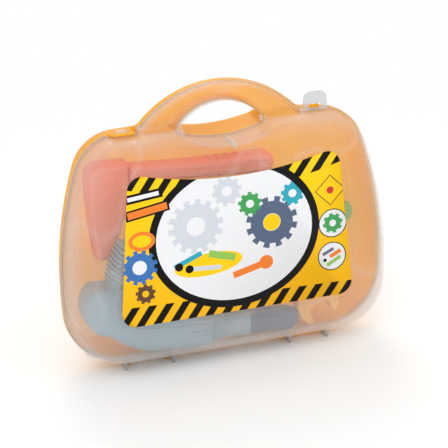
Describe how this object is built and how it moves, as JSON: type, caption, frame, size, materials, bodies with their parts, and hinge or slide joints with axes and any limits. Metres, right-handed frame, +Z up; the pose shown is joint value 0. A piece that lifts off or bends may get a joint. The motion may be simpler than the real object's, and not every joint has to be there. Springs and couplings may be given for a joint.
{
  "type": "toy tool box",
  "caption": "Toy tool box: hinged carrying case of two moulded shells with latch flaps, holding a toy drill, hammer, spanner, saw, screwdriver, bolts and nuts.",
  "frame": {"origin": "under the middle of the closed case, on the surface that its hinge ears stand on", "axes": "+Z up through the handle, +X to the right and -Y out of the front with the label"},
  "size_m": [0.2902, 0.078, 0.2447],
  "materials": {
    "clear_shell": "frosted translucent",
    "yellow_shell": "satin translucent",
    "label_print": "printed film",
    "drill_grey": "satin",
    "chuck_grey": "satin",
    "screw_metal": "zinc plated",
    "hammer_red": "satin",
    "spanner_yellow": "satin",
    "saw_green": "satin",
    "tool_grey": "satin",
    "driver_blue": "satin",
    "bolt_black": "satin"
  },
  "bodies": {
    "case_back": {"back_shell": "yellow_shell", "drill_half_front": "drill_grey", "drill_half_back": "drill_grey", "drill_screws": "screw_metal", "hammer_head": "hammer_red", "hammer_handle": "hammer_red", "spanner": "spanner_yellow", "saw_handle": "saw_green", "saw_blade": "tool_grey", "screwdriver_handle": "driver_blue", "screwdriver_shaft": "tool_grey", "bolt_1": "bolt_black", "bolt_2": "bolt_black", "nut_1": "bolt_black", "nut_2": "bolt_black"},
    "case_front": {"front_shell": "clear_shell", "label": "label_print"},
    "flap_left": {"latch_flap_left": "yellow_shell"},
    "flap_right": {"latch_flap_right": "clear_shell"},
    "trigger": {"drill_trigger": "hammer_red"},
    "chuck": {"drill_chuck": "chuck_grey"}
  },
  "joints": [
    {"name": "case_hinge", "type": "hinge", "parent": "case_back", "child": "case_front", "pos_m": [0, 0, 0.0039], "axis": [1, 0, 0], "range_deg": [0, 180]},
    {"name": "left_flap_hinge", "type": "hinge", "parent": "case_back", "child": "flap_left", "pos_m": [-0.086, 0.001, 0.2091], "axis": [1, 0, 0], "range_deg": [-168, 12]},
    {"name": "right_flap_hinge", "type": "hinge", "parent": "case_front", "child": "flap_right", "pos_m": [0.086, -0.001, 0.2091], "axis": [1, 0, 0], "range_deg": [-90, 90]},
    {"name": "chuck_spin", "type": "hinge", "parent": "case_back", "child": "chuck", "pos_m": [-0.129, -0.006, 0.0366], "axis": [0.9976, 0, -0.0698], "continuous": true},
    {"name": "trigger_pull", "type": "slide", "parent": "case_back", "child": "trigger", "axis": [0.9976, 0, -0.0698], "range_m": [-0.004, 0], "stiffness_N_per_m": 400, "springref_m": 0.0005}
  ]
}
